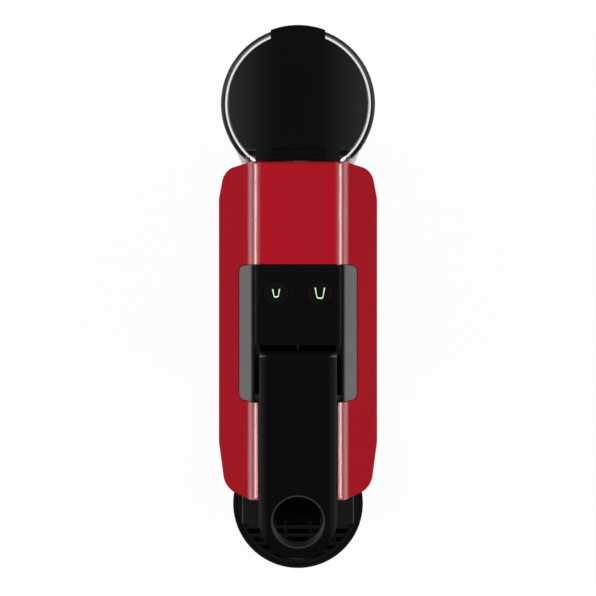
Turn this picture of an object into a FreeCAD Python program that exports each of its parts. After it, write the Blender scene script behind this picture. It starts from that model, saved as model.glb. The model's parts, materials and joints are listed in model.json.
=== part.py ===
import FreeCAD, Part
import math
import os

# Pod coffee machine, millimetres. Front faces -Y, water tank at +Y, base on Z = 0.
V = FreeCAD.Vector

# Main cover
COVER_HALF = 42.0          # widest half width, at the side ridge
RIDGE_Z = 160.0
BASE_HALF = 38.0
CROWN_Z = 200.0
CREASE_X = 21.8            # corner between crown and side facet, before rounding
COVER_FRONT = -78.3
COVER_REAR = 87.2
COVER_BOTTOM = 26.0
WALL = 2.4
SHOULDER = 24.0            # length of the plan taper at the front end
REAR_TAPER = 15.0
LOWER_FRONT = -62.0        # front of the column under the overhanging nose
OVERHANG_Z = 126.0
GAP = 0.4                  # parting gap between trim pieces
RUN = 0.05                 # running clearance of pins in bores
CLEAR = 0.6                # clearance round moving pieces

# Control panel
PANEL_HALF = 29.5
PANEL_FRONT = -30.1
PANEL_REAR = 36.6
PANEL_CORNER = 2.6
SLOT_HALF = 21.2
SLOT_REAR = -2.5
BUTTON_R = 6.0
BUTTON_X = 10.65
BUTTON_Y = 22.8
BUTTON_TRAVEL = 1.0

# Lever
PIVOT_Y = -30.0
PIVOT_Z = 179.0
SHAFT_R = 2.5
LEVER_HALF = 18.7
LEVER_TIP = -107.4
LEVER_REAR = -4.9
LEVER_TOP_REAR = 204.4
LEVER_TOP_TIP = 198.0
LEVER_THICK = 10.0
LEVER_SKIN = 2.6
FINGER_R = 12.5
HUB_R = 6.5
CRANK_R = 26.0
CRANK_ANGLE = 6.0
LEVER_SWING = 84.0
CAGE_TRAVEL = 28.0
PIN_R = 2.0
PIN_PLAY = 0.15
SLOT_STEPS = 28
RELIEF_STEPS = 6            # positions of the cage cut out of the underside of the lever

# Brew unit
BREW_Z = 150.0
CAGE_R = 19.0
CAGE_BORE = 15.8
CAGE_FRONT = -65.4
CAGE_REAR = -36.5
CAGE_BACK = 2.5             # thickness of the cage's back wall
YOKE_IN = 19.6
YOKE_OUT = 21.4
CRANK_IN = 21.8
CRANK_OUT = 23.7
FRAME_IN = 24.1
FRAME_OUT = 27.1
TUBE_R = 2.5

# Nose, tray and container
NOSE_FRONT = -94.3
NOSE_HALF = 28.6
NOSE_TOP = 187.0
NOSE_WALL = 2.2
SPOUT_Y = -83.7
SPOUT_R = 5.0
TRAY_Y = -112.5
TRAY_R = 42.1
TRAY_Z = 47.0
TRAY_WALL = 2.2
RIM = 3.3
SLAT_PITCH = 5.25
BIN_HALF = 31.0
BIN_REAR = 12.0
BIN_TOP = 110.0
BIN_FLOOR = 16.0
BIN_FRONT = -68.0
SIDE_PLAY = 1.8           # container to tray wall

# Tank
TANK_Y = 116.2
TANK_R = 38.0
TANK_WALL = 2.0
TANK_FLAT = 90.0
TANK_TOP = 194.0
TANK_BOTTOM = 24.0
LID_THICK = 2.0
LID_ARCH_R = 470.0
SKIRT_DEEP = 3.2
TAB_HALF = 13.4
TONGUE_HALF = 20.4
HINGE_Y = 89.0
HINGE_Z = 195.2
HINGE_PIN_R = 0.6
VALVE_R = 6.0
FOOT_Z = 4.0
BASE_FLOOR = 2.5
TRAY_FLOOR = FOOT_Z + 3.0


def box(x0, x1, y0, y1, z0, z1):
    return Part.makeBox(x1 - x0, y1 - y0, z1 - z0, V(x0, y0, z0))


def wide(half, y0, y1, z0, z1):
    """A box centred on X = 0."""
    return box(-half, half, y0, y1, z0, z1)


def cyl(axis, r, centre, start, end):
    """A cylinder along X, Y or Z; centre holds its other two coordinates in order."""
    a, b = centre
    base = {"x": V(start, a, b), "y": V(a, start, b), "z": V(a, b, start)}[axis]
    direction = {"x": V(1, 0, 0), "y": V(0, 1, 0), "z": V(0, 0, 1)}[axis]
    return Part.makeCylinder(r, end - start, base, direction)


def ring(axis, outer, inner, centre, start, end):
    return cyl(axis, outer, centre, start, end).cut(cyl(axis, inner, centre, start, end))


def rounded(points, radius):
    """A closed wire through 2-D points, each corner replaced by a tangent arc."""
    if not hasattr(radius, "__len__"):
        radius = [radius] * len(points)
    corners = [V(p[0], p[1], 0) for p in points]
    cuts = []
    for i, here in enumerate(corners):
        back = (corners[i - 1] - here).normalize()
        on = (corners[(i + 1) % len(corners)] - here).normalize()
        r = radius[i]
        half = back.getAngle(on) / 2
        if r <= 0 or half > math.pi / 2 - 1e-4:
            cuts.append((here, None, here))
            continue
        reach = r / math.tan(half)
        middle = (back + on).normalize()
        centre = here + middle * (r / math.sin(half))
        cuts.append((here + back * reach, centre - middle * r, here + on * reach))
    edges = []
    for i, (start, mid, end) in enumerate(cuts):
        if mid is not None:
            edges.append(Part.Arc(start, mid, end).toShape())
        after = cuts[(i + 1) % len(cuts)][0]
        if (after - end).Length > 1e-6:
            edges.append(Part.LineSegment(end, after).toShape())
    return Part.Wire(edges)


def extrude(wire, plane, start, end):
    """A prism of a 2-D wire: plane 'xz' runs along Y, 'yz' along X and 'xy' along Z."""
    face = Part.Face(wire)
    turn = {
        "xz": FreeCAD.Matrix(1, 0, 0, 0, 0, 0, 1, start, 0, 1, 0, 0),
        "yz": FreeCAD.Matrix(0, 0, 1, start, 1, 0, 0, 0, 0, 1, 0, 0),
        "xy": FreeCAD.Matrix(1, 0, 0, 0, 0, 1, 0, 0, 0, 0, 1, start),
    }[plane]
    along = {"xz": V(0, 1, 0), "yz": V(1, 0, 0), "xy": V(0, 0, 1)}[plane]
    solid = face.transformGeometry(turn).extrude(along * (end - start))
    if solid.Volume < 0:
        solid.reverse()
    return solid


def both(points):
    """Half an outline, from bottom to top at +X, mirrored to a closed one."""
    return points + [(-x, z) for x, z in reversed(points)]


def fuse(*shapes):
    result = shapes[0]
    if len(shapes) > 1:
        result = result.multiFuse(list(shapes[1:]))
    return result.removeSplitter()


def mirrored(shape):
    """The piece and its twin across the machine's middle plane."""
    return [shape, shape.mirror(V(0, 0, 0), V(1, 0, 0))]


def write(name, *shapes):
    solids = [s for shape in shapes for s in shape.Solids]
    out = solids[0] if len(solids) == 1 else Part.makeCompound(solids)
    out.exportStep(os.path.join("parts", name + ".step"))
    print(name, len(solids), round(out.Volume, 1))


def cover_solid(inset, bottom=COVER_BOTTOM):
    """The outer form, pulled in by inset: section, plan and side profile met together."""
    section = both([(BASE_HALF, COVER_BOTTOM - 9), (COVER_HALF, RIDGE_Z), (CREASE_X, CROWN_Z)])
    front, rear = COVER_FRONT, COVER_REAR
    plan = [
        (BASE_HALF, front), (COVER_HALF, front + SHOULDER), (COVER_HALF, rear - REAR_TAPER),
        (BASE_HALF + 0.5, rear), (-BASE_HALF - 0.5, rear), (-COVER_HALF, rear - REAR_TAPER),
        (-COVER_HALF, front + SHOULDER), (-BASE_HALF, front),
    ]
    side = [
        (front, OVERHANG_Z), (front, CROWN_Z), (rear, CROWN_Z), (rear, bottom - 9),
        (LOWER_FRONT, bottom - 9), (LOWER_FRONT, OVERHANG_Z - 12),
    ]
    wires = [
        (rounded(section, [0, 6, 4.5, 4.5, 6, 0]), "xz", front - 5, rear + 5),
        (rounded(plan, [7, 14, 14, 7, 7, 14, 14, 7]), "xy", 0, CROWN_Z + 10),
        (rounded(side, [2, 2.6, 2.6, 0, 0, 6]), "yz", -COVER_HALF - 5, COVER_HALF + 5),
    ]
    solids = []
    for wire, plane, start, end in wires:
        if inset:
            wire = wire.makeOffset2D(-inset, 0)
        solids.append(extrude(wire, plane, start, end))
    form = solids[0].common(solids[1]).common(solids[2])
    return form.cut(wide(COVER_HALF + 5, front - 5, rear + 5, -20, bottom))


def panel_plan(grow):
    """The control panel's outline as a tall prism, grown for the opening it sits in."""
    half, front, rear = PANEL_HALF + grow, PANEL_FRONT - grow, PANEL_REAR + grow
    plan = [(half, front), (half, rear), (-half, rear), (-half, front)]
    return extrude(rounded(plan, PANEL_CORNER + grow), "xy", RIDGE_Z + 15, CROWN_Z + 5)


def main_cover(outer, inner, ledge_inner):
    """The one-piece red cover, open below and in front, with the panel and lever openings."""
    shell = outer.cut(inner)
    shell = shell.cut(wide(BIN_HALF + 2 * CLEAR, LOWER_FRONT - 5, LOWER_FRONT + 8, 0, OVERHANG_Z - 4))
    shell = shell.cut(wide(24.0, COVER_FRONT - 5, COVER_FRONT + 8, OVERHANG_Z - 8, NOSE_TOP - 3.4))
    shell = shell.cut(wide(BIN_HALF + 2 * CLEAR, COVER_FRONT + 4, LOWER_FRONT + 8, OVERHANG_Z - 20, OVERHANG_Z + 6))
    shell = shell.cut(wide(LEVER_HALF + CLEAR + 0.1, COVER_FRONT - 5, PANEL_FRONT + 5, NOSE_TOP + 0.4, CROWN_Z + 5))
    opening = panel_plan(GAP)
    shell = shell.cut(opening)
    rim = wide(PANEL_HALF + 2, SLOT_REAR + 6, PANEL_REAR + 2, RIDGE_Z + 15, CROWN_Z + 5)
    rim = rim.cut(wide(PANEL_HALF - 2, SLOT_REAR + 4, PANEL_REAR - 2, RIDGE_Z, CROWN_Z + 6))
    ledge = inner.cut(ledge_inner).common(rim)
    brow = wide(LEVER_HALF, COVER_FRONT, COVER_FRONT + WALL, NOSE_TOP - 3.4, NOSE_TOP + 0.4)
    rear_door = wide(25, COVER_REAR - 6, COVER_REAR + 5, COVER_BOTTOM - 5, 150)
    return fuse(shell.cut(rear_door), ledge, brow)


def control_panel(outer, inner):
    plate = outer.cut(inner).common(panel_plan(0))
    plate = plate.cut(wide(SLOT_HALF, PANEL_FRONT - 5, SLOT_REAR, RIDGE_Z, CROWN_Z + 5))
    for x in (-BUTTON_X, BUTTON_X):
        plate = plate.cut(cyl("z", BUTTON_R + 0.25, (x, BUTTON_Y), RIDGE_Z, CROWN_Z + 5))
    return plate


BOARD_Z = CROWN_Z - 9.0


def button(x):
    """A cap that pokes 0.3 mm out of the panel, with a stem over its switch."""
    top = CROWN_Z + 0.3
    cap = cyl("z", BUTTON_R, (x, BUTTON_Y), top - 3.0, top)
    cap = cap.makeFillet(0.5, [e for e in cap.Edges if e.BoundBox.ZMin > top - 0.01])
    flange = cyl("z", BUTTON_R + 1.2, (x, BUTTON_Y), top - 4.2, top - 3.0)
    stem = cyl("z", 1.8, (x, BUTTON_Y), BOARD_Z + 3.7, top - 4.0)
    return fuse(cap, flange, stem)


def controls():
    board = wide(18.0, BUTTON_Y - 10, BUTTON_Y + 11, BOARD_Z, BOARD_Z + 1.6)
    posts = [cyl("z", 1.6, (x, y), BOARD_Z + 1.6, CROWN_Z - WALL)
             for x in (-16, 16) for y in (BUTTON_Y - 8, BUTTON_Y + 9)]
    switches = [box(x - 3, x + 3, BUTTON_Y - 3, BUTTON_Y + 3, BOARD_Z + 1.6, BOARD_Z + 3.6 - BUTTON_TRAVEL)
                for x in (-BUTTON_X, BUTTON_X)]
    lights = [box(x - 1, x + 1, BUTTON_Y + 5, BUTTON_Y + 7, BOARD_Z + 1.6, BOARD_Z + 2.6)
              for x in (-BUTTON_X, BUTTON_X)]
    return board, posts, switches, lights


def lever_top(y):
    share = (y - LEVER_TIP) / (LEVER_REAR - LEVER_TIP)
    return LEVER_TOP_TIP + share * (LEVER_TOP_REAR - LEVER_TOP_TIP)


def lever_side(inset=0.0):
    """The lever's side profile: a tapering bar, rounded behind so that it clears the panel."""
    front, rear = LEVER_TIP + inset, LEVER_REAR - inset
    points = [
        (front, lever_top(front) - LEVER_THICK + 0.5), (front, lever_top(front) - inset),
        (rear, lever_top(rear) - inset), (rear, lever_top(rear) - LEVER_THICK + 1.2),
    ]
    return rounded(points, [0, max(1.4 - inset, 0.3), max(6 - inset, 1), 0.5])


def lever_handle():
    end_y = LEVER_TIP + LEVER_HALF
    bar = extrude(lever_side(), "yz", -LEVER_HALF, LEVER_HALF)
    outline = fuse(wide(LEVER_HALF, end_y, 0, 150, 220), cyl("z", LEVER_HALF, (0, end_y), 150, 220))
    bar = bar.common(outline)
    hollow = extrude(lever_side(LEVER_SKIN), "yz", -LEVER_HALF + LEVER_SKIN, LEVER_HALF - LEVER_SKIN)
    drop = hollow.translated(V(0, 0, -LEVER_SKIN))
    span = wide(LEVER_HALF, end_y + FINGER_R + LEVER_SKIN, PIVOT_Y - HUB_R - 4, 150, 220)
    bar = bar.cut(drop.common(span))
    rear_span = wide(LEVER_HALF, PIVOT_Y + HUB_R + 2, LEVER_REAR - LEVER_SKIN - 4, 150, 220)
    bar = bar.cut(drop.common(rear_span))
    cheek_points = [
        (PIVOT_Y - 15, lever_top(PIVOT_Y) - 5), (PIVOT_Y + 14, lever_top(PIVOT_Y) - 5),
        (PIVOT_Y + HUB_R, PIVOT_Z), (PIVOT_Y + HUB_R - 1, PIVOT_Z - HUB_R),
        (PIVOT_Y - HUB_R + 1, PIVOT_Z - HUB_R), (PIVOT_Y - HUB_R, PIVOT_Z),
    ]
    cheek = extrude(rounded(cheek_points, [0, 0, 2, 4, 4, 2]), "yz", 13.6, LEVER_HALF - 0.1)
    body = fuse(bar, *mirrored(cheek))
    body = body.cut(cyl("z", FINGER_R, (0, end_y), 150, 220))
    body = body.cut(cyl("x", SHAFT_R, (PIVOT_Y, PIVOT_Z), -30, 30))
    for relief in cage_relief():
        body = body.cut(relief)
    return body


def cage_relief():
    """Room for the cage under the lever's rear end, at the far end of the swing."""
    shapes = []
    for i in range(RELIEF_STEPS):
        share = 1 - i * 0.06
        rear = CAGE_REAR + CAGE_TRAVEL * share + CLEAR
        shape = cyl("y", CAGE_R + CLEAR, (0, BREW_Z), PIVOT_Y - CAGE_R, rear)
        shape.rotate(V(0, PIVOT_Y, PIVOT_Z), V(1, 0, 0), LEVER_SWING * share)
        shapes.append(shape)
    return shapes


def crank_pin(angle):
    turn = math.radians(CRANK_ANGLE - angle)
    return PIVOT_Y + CRANK_R * math.cos(turn), PIVOT_Z + CRANK_R * math.sin(turn)


def lever_crank():
    y, z = crank_pin(0)
    arm = fuse(cyl("x", 5.0, (PIVOT_Y, PIVOT_Z), CRANK_IN, CRANK_OUT),
               cyl("x", 3.6, (y, z), CRANK_IN, CRANK_OUT),
               extrude(rounded([(PIVOT_Y, PIVOT_Z - 4), (y, z - 3.4), (y, z + 3.4), (PIVOT_Y, PIVOT_Z + 4)], 0),
                       "yz", CRANK_IN, CRANK_OUT))
    pin = cyl("x", PIN_R, (y, z), YOKE_IN + 0.2, CRANK_IN + 0.5)
    return fuse(arm, pin).cut(cyl("x", SHAFT_R, (PIVOT_Y, PIVOT_Z), CRANK_IN - 1, CRANK_OUT + 1))


def cam_slot():
    """The track that gives the cage a steady travel per degree: the pin's path seen from the cage."""
    path = []
    for i in range(SLOT_STEPS + 1):
        y, z = crank_pin(LEVER_SWING * i / SLOT_STEPS)
        path.append(V(y - CAGE_TRAVEL * i / SLOT_STEPS, z, 0))
    reach = PIN_R + PIN_PLAY
    left, right = [], []
    for i, here in enumerate(path):
        along = (path[min(i + 1, SLOT_STEPS)] - path[max(i - 1, 0)]).normalize()
        side = V(-along.y, along.x, 0) * reach
        left.append((here + side)[:2])
        right.append((here - side)[:2])
    band = extrude(rounded(left + right[::-1], 0), "yz", YOKE_IN - 1, YOKE_OUT + 1)
    ends = [cyl("x", reach, (end.x, end.y), YOKE_IN - 1, YOKE_OUT + 1) for end in (path[0], path[-1])]
    return [band] + ends


SKID_Z = 137.0


def capsule_cage():
    barrel = ring("y", CAGE_R, CAGE_BORE, (0, BREW_Z), CAGE_FRONT, CAGE_REAR)
    back = cyl("y", CAGE_R, (0, BREW_Z), CAGE_REAR - CAGE_BACK, CAGE_REAR)
    back = back.cut(cyl("y", TUBE_R, (0, BREW_Z), CAGE_REAR - 5, CAGE_REAR + 1))
    plate_points = [(CAGE_FRONT + 2, SKID_Z - 2), (-38, SKID_Z - 2), (2, 172), (2, 186.5), (-8, 186.5),
                    (-24, 170), (CAGE_FRONT + 2, 161)]
    yoke = extrude(rounded(plate_points, 2), "yz", YOKE_IN, YOKE_OUT)
    for track in cam_slot():
        yoke = yoke.cut(track)
    lug = box(16, YOKE_IN + 0.5, CAGE_FRONT + 4, CAGE_REAR - 2, BREW_Z - 5, BREW_Z - 1)
    lug = lug.cut(cyl("y", CAGE_R - 1, (0, BREW_Z), CAGE_FRONT, CAGE_REAR))
    skid = box(YOKE_OUT - 0.5, FRAME_IN - 0.3, CAGE_FRONT + 6, -42, SKID_Z, SKID_Z + 4)
    sides = [s for shape in (yoke, lug, skid) for s in mirrored(shape)]
    return fuse(barrel, back, *sides)


def brew_frame_side(clear_form):
    """One side plate with the shaft bearing and the two rails that guide the cage."""
    points = [(-76, 128), (39, 128), (39, 172), (-10, 186), (-44, 186), (-60, 172), (-76, 172)]
    plate = extrude(rounded(points, 3), "yz", FRAME_IN, FRAME_OUT)
    low = box(YOKE_OUT + 0.4, FRAME_IN + 0.5, CAGE_FRONT, 4, SKID_Z - 2.8, SKID_Z - 0.15)
    high = box(YOKE_OUT + 0.4, FRAME_IN + 0.5, CAGE_FRONT, 4, SKID_Z + 4.15, SKID_Z + 6)
    plate = fuse(plate, low, high).common(clear_form)
    return plate.cut(cyl("x", SHAFT_R + RUN, (PIVOT_Y, PIVOT_Z), 20, 30))


def extraction_holder():
    block = wide(FRAME_IN, -75, -69, 130, 170)
    duct = cyl("y", 4, (0, 138), -84, -69)
    hole = cyl("y", 2.2, (0, 138), -83, -66)
    return fuse(block, duct).cut(hole).cut(cyl("z", 2.2, (0, -81), 132, 138))


def pyramid_plate():
    disc = cyl("y", 15.0, (0, BREW_Z), -69, -67.6)
    tips = [Part.makeCone(1.6, 0.5, 1.2, V(x * 4.6, -67.7, BREW_Z + z * 4.6), V(0, 1, 0))
            for x in range(-2, 3) for z in range(-2, 3) if abs(x) + abs(z) < 4]
    return fuse(disc, *tips)


def outlet_head():
    points = both([(25.0, OVERHANG_Z), (NOSE_HALF, OVERHANG_Z + 14), (NOSE_HALF, NOSE_TOP - 9),
                   (20.0, NOSE_TOP)])
    outer = extrude(rounded(points, 4), "xz", NOSE_FRONT, COVER_FRONT)
    front = [(NOSE_FRONT, NOSE_TOP + 5), (NOSE_FRONT, 158), (NOSE_FRONT + 5, OVERHANG_Z - 5),
             (COVER_FRONT, OVERHANG_Z - 5), (COVER_FRONT, NOSE_TOP + 5)]
    outer = outer.common(extrude(rounded(front, [0, 20, 2, 0, 0]), "yz", -40, 40))
    inner_wire = rounded(points, 4).makeOffset2D(-NOSE_WALL, 0)
    inner = extrude(inner_wire, "xz", NOSE_FRONT + NOSE_WALL + 3, COVER_FRONT + 1)
    well = wide(11.5, NOSE_FRONT - 1, COVER_FRONT - NOSE_WALL, NOSE_TOP - 13, NOSE_TOP + 1)
    liner = wide(13.5, NOSE_FRONT + 1, COVER_FRONT, NOSE_TOP - 15, NOSE_TOP)
    shell = fuse(outer.cut(inner), liner.common(outer)).cut(well)
    shell = shell.cut(cyl("z", SPOUT_R, (0, SPOUT_Y), OVERHANG_Z - 2, OVERHANG_Z + 4))
    return shell


def coffee_spout():
    """A funnel under the extraction duct, held by its flange on the head's floor."""
    floor = OVERHANG_Z + NOSE_WALL
    flange = wide(9, SPOUT_Y - 5.2, SPOUT_Y + 5.2, floor, floor + 2)
    neck = cyl("z", SPOUT_R - RUN, (0, SPOUT_Y), OVERHANG_Z, floor + 1)
    nozzle = Part.makeCone(3.8, SPOUT_R + 2.4, 10, V(0, SPOUT_Y, OVERHANG_Z - 12), V(0, 0, 1))
    collar = cyl("z", SPOUT_R + 2.4, (0, SPOUT_Y), OVERHANG_Z - 2, OVERHANG_Z)
    bore = Part.makeCone(2.2, 3.8, 17, V(0, SPOUT_Y, OVERHANG_Z - 12.4), V(0, 0, 1))
    return fuse(flange, neck, nozzle, collar).cut(bore)


def container_outline(grow, y_front):
    points = [(BIN_HALF + grow, y_front - grow), (BIN_HALF + grow, BIN_REAR + grow),
              (-BIN_HALF - grow, BIN_REAR + grow), (-BIN_HALF - grow, y_front - grow)]
    return rounded(points, 6 + grow)


def capsule_container():
    outer = extrude(container_outline(0, BIN_FRONT), "xy", BIN_FLOOR, BIN_TOP)
    inner = extrude(container_outline(-2, BIN_FRONT), "xy", BIN_FLOOR + 2, BIN_TOP + 1)
    feet = [box(x - 2, x + 2, BIN_FRONT + 10, BIN_REAR - 8, TRAY_FLOOR, BIN_FLOOR) for x in (-20, 20)]
    grip = wide(14, BIN_FRONT - 2.2, BIN_FRONT + 1, BIN_TOP - 9, BIN_TOP - 5)
    grip = grip.makeFillet(0.8, [e for e in grip.Edges if e.BoundBox.YMax < BIN_FRONT - 1])
    return fuse(outer.cut(inner), grip, *feet)


def tray_outline(grow, z0, z1):
    """The round front pan joined to the straight channel that runs back under the container."""
    pan = cyl("z", TRAY_R + grow, (0, TRAY_Y), z0, z1)
    channel = extrude(rounded([
        (BIN_HALF + SIDE_PLAY + TRAY_WALL + grow, TRAY_Y), (BIN_HALF + SIDE_PLAY + TRAY_WALL + grow, BIN_REAR + 3.2 + grow),
        (-BIN_HALF - SIDE_PLAY - TRAY_WALL - grow, BIN_REAR + 3.2 + grow), (-BIN_HALF - SIDE_PLAY - TRAY_WALL - grow, TRAY_Y)],
        [0, 6, 6, 0]), "xy", z0, z1)
    return pan, channel


def drip_tray():
    bottom, floor = FOOT_Z + 0.5, TRAY_FLOOR
    pan, channel = tray_outline(0, bottom, TRAY_Z)
    pan_in, channel_in = tray_outline(-TRAY_WALL, floor, TRAY_Z + 1)
    low = wide(60, BIN_FRONT - 1.5, 60, COVER_BOTTOM - CLEAR, TRAY_Z + 5)
    body = fuse(pan, channel).cut(fuse(pan_in, channel_in)).cut(low)
    seat = ring("z", TRAY_R - TRAY_WALL + 0.3, TRAY_R - TRAY_WALL - 1.2, (0, TRAY_Y), TRAY_Z - 7, TRAY_Z - 5)
    seat = seat.cut(wide(60, BIN_FRONT - 6, 60, 0, 60))
    return fuse(body, seat)


def drip_grid():
    """A round plate of cross slats inside a rim, with short bars between the slats."""
    top, thick = TRAY_Z - 0.5, 4.5
    r = TRAY_R - TRAY_WALL - 0.4
    back = BIN_FRONT - 2.5
    rim = ring("z", r, r - RIM + 1, (0, TRAY_Y), top - thick, top)
    chord = wide(r, back - 2.4, back, top - thick, top)
    disc = cyl("z", r, (0, TRAY_Y), top - thick, top)
    slats = []
    count = int(r / SLAT_PITCH)
    for i in range(-count, count + 1):
        y = TRAY_Y + i * SLAT_PITCH
        if y < back - 3:
            slats.append(wide(r, y - 1.1, y + 1.1, top - 3.2, top - 0.6))
    ribs = [box(x - 1, x + 1, TRAY_Y - r, back, top - thick, top - 3.0) for x in (-24, -8, 8, 24)]
    plate = fuse(rim, *[s.common(disc) for s in slats + ribs + [chord]])
    return plate.cut(wide(60, back, 60, 0, 60))


def tank_outline(r, flat, z0, z1):
    round_part = cyl("z", r, (0, TANK_Y), z0, z1)
    body = round_part.cut(wide(r + 1, flat - 60, flat, z0 - 1, z1 + 1))
    edges = [e for e in body.Edges if e.BoundBox.ZLength > 1 and e.BoundBox.YMax < flat + 0.1]
    return body.makeFillet(4.0, edges)


VALVE_Y = TANK_Y
SOCKET_R = 4.0
SOCKET_FLOOR = FOOT_Z + 6
PLUNGER_Z = TANK_BOTTOM + 2.1
GLAND_R = 3.6
GLAND_Y = 70.0
GLAND_Z = 14.0


def water_tank():
    outer = tank_outline(TANK_R - 1.0, TANK_FLAT + 1.0, TANK_BOTTOM, TANK_TOP - 5)
    lip = tank_outline(TANK_R, TANK_FLAT, TANK_TOP - 6, TANK_TOP)
    inner = tank_outline(TANK_R - 1.0 - TANK_WALL, TANK_FLAT + 1.0 + TANK_WALL, TANK_BOTTOM + 2.5, TANK_TOP + 1)
    neck = cyl("z", VALVE_R + 2.0, (0, VALVE_Y), TANK_BOTTOM, TANK_BOTTOM + 6)
    body = fuse(outer, lip).cut(inner)
    body = body.cut(wide(TONGUE_HALF + 0.5, TANK_FLAT - 1, TANK_FLAT + 3.4, TANK_TOP - 1.5, TANK_TOP + 1))
    ear = box(TONGUE_HALF + 0.5, TONGUE_HALF + 3, HINGE_Y - 1, TANK_FLAT + 2, TANK_TOP - 1.5, HINGE_Z + 1)
    body = fuse(body, neck, *mirrored(ear))
    body = body.cut(cyl("x", HINGE_PIN_R + RUN, (HINGE_Y, HINGE_Z), -30, 30))
    return body.cut(cyl("z", VALVE_R, (0, VALVE_Y), TANK_BOTTOM - 1, TANK_BOTTOM + 8))


def tank_lid():
    """A gently arched disc with a skirt in the tank's mouth, a lift tab and a hinge tongue."""
    under, top = TANK_TOP + 0.2, TANK_TOP + 0.2 + LID_THICK
    skirt_r, skirt_flat = TANK_R - 1.0 - TANK_WALL - CLEAR, TANK_FLAT + 3.8
    disc = tank_outline(skirt_r, skirt_flat, TANK_TOP - SKIRT_DEEP, top)
    disc = disc.cut(tank_outline(skirt_r - LID_THICK, skirt_flat + LID_THICK, TANK_TOP - SKIRT_DEEP - 1, under))
    tab = wide(TAB_HALF, TANK_Y + 28, TANK_Y + 50, under, top)
    tab = tab.common(cyl("z", TANK_R + 0.3, (0, TANK_Y), under, top))
    tongue = wide(TONGUE_HALF, HINGE_Y, TANK_FLAT + 9, under, top)
    knuckle = cyl("x", LID_THICK / 2, (HINGE_Y, HINGE_Z), -TONGUE_HALF, TONGUE_HALF)
    pins = cyl("x", HINGE_PIN_R, (HINGE_Y, HINGE_Z), -TONGUE_HALF - 2, TONGUE_HALF + 2)
    body = fuse(disc, tab, tongue, knuckle)
    body = body.common(cyl("y", LID_ARCH_R, (0, top - LID_ARCH_R), TANK_FLAT - 5, TANK_Y + 60))
    pocket = wide(TAB_HALF, HINGE_Y + 1.4, HINGE_Y + 5, top - 1.0, top + 5)
    return fuse(body.cut(pocket), pins)


def tank_valve():
    body = ring("z", VALVE_R - RUN, 2.5, (0, VALVE_Y), TANK_BOTTOM + 3, TANK_BOTTOM + 6)
    cage = ring("z", VALVE_R + 2.0, 4.5, (0, VALVE_Y), TANK_BOTTOM + 6, TANK_BOTTOM + 16)
    cage = cage.cut(box(-20, 20, VALVE_Y - 2.5, VALVE_Y + 2.5, TANK_BOTTOM + 8, TANK_BOTTOM + 14))
    cap = ring("z", VALVE_R + 2.0, 2.2, (0, VALVE_Y), TANK_BOTTOM + 16, TANK_BOTTOM + 18)
    return fuse(body, cage, cap)


def valve_plunger():
    """Held 2 mm off its seat by the socket's pin while the tank stands on its dock."""
    seat = TANK_BOTTOM + 8.5
    return fuse(cyl("z", 2.3, (0, VALVE_Y), PLUNGER_Z, seat),
                cyl("z", 4.1, (0, VALVE_Y), seat, seat + 1.6),
                cyl("z", 2.0, (0, VALVE_Y), seat + 1.6, TANK_BOTTOM + 19))


def valve_spring():
    low, high = TANK_BOTTOM + 10.1, TANK_BOTTOM + 16.0
    return ring("z", 4.0, 2.8, (0, VALVE_Y), low + 0.05, high)


BASE_SCREWS = [(-28, 26), (28, 26), (-28, 76), (28, 76)]
HOSE_R = 2.8
METER_X = -20.0
METER_Y = 52.0
PUMP_X = 12.0
PUMP_Y = 54.0


def base_chassis():
    """The black tub that carries everything and reaches back under the tank."""
    z1 = COVER_BOTTOM
    side = BASE_HALF
    col = extrude(rounded([(side, LOWER_FRONT), (side, COVER_REAR), (-side, COVER_REAR), (-side, LOWER_FRONT)], 4),
                  "xy", FOOT_Z, z1)
    dock = cyl("z", TANK_R, (0, TANK_Y), FOOT_Z, TANK_BOTTOM - 0.3)
    neck = wide(34, COVER_REAR - 8, TANK_Y, FOOT_Z, TANK_BOTTOM - 0.3)
    outer = fuse(col, dock, neck)
    cavity = wide(BASE_HALF - WALL, BIN_REAR + 8, COVER_REAR - 5, FOOT_Z - 1, z1 - 3)
    cavity_dock = cyl("z", TANK_R - 3, (0, TANK_Y), FOOT_Z - 1, TANK_BOTTOM - 4).cut(
        wide(60, 0, COVER_REAR, 0, 60))
    garage = wide(BIN_HALF + SIDE_PLAY + TRAY_WALL + CLEAR, LOWER_FRONT - 5, BIN_REAR + 3.2 + CLEAR, FOOT_Z - 1, z1 + 1)
    body = outer.cut(cavity).cut(cavity_dock).cut(garage)
    socket_bore = cyl("z", SOCKET_R, (0, VALVE_Y), FOOT_Z, TANK_BOTTOM + 5)
    boss = [cyl("z", 4, place, FOOT_Z + BASE_FLOOR, z1 - 2).cut(
        cyl("z", 1.3, place, FOOT_Z, FOOT_Z + BASE_FLOOR + 9)) for place in BASE_SCREWS]
    socket_tube = cyl("z", SOCKET_R + 2, (0, VALVE_Y), SOCKET_FLOOR - 1, TANK_BOTTOM - 1)
    holes = [cyl("z", HOSE_R + 0.1, (METER_X, METER_Y), z1 - 5, z1 + 1),
             cyl("y", HOSE_R + 0.3, (0, GLAND_Z), COVER_REAR - 8, TANK_Y - 2),
             cyl("x", GLAND_R, (GLAND_Y, GLAND_Z), -BASE_HALF - 1, -BASE_HALF + 6)]
    wall_z = 126.0
    spine = wide(BASE_HALF - 7, BIN_REAR + 3.2 + CLEAR, BIN_REAR + 6.4 + CLEAR, z1 - 3, wall_z)
    roof = wide(FRAME_OUT + 1, BIN_REAR + 3.2 + CLEAR, BIN_REAR + 22, wall_z, 128)
    arms = [box(*span, -70, BIN_REAR + 6, wall_z, 128) for span in ((24.3, 28.1), (-28.1, -24.3))]
    body = fuse(body, spine, roof, socket_tube, *arms, *boss).cut(socket_bore)
    for hole in holes:
        body = body.cut(hole)
    return body


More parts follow.
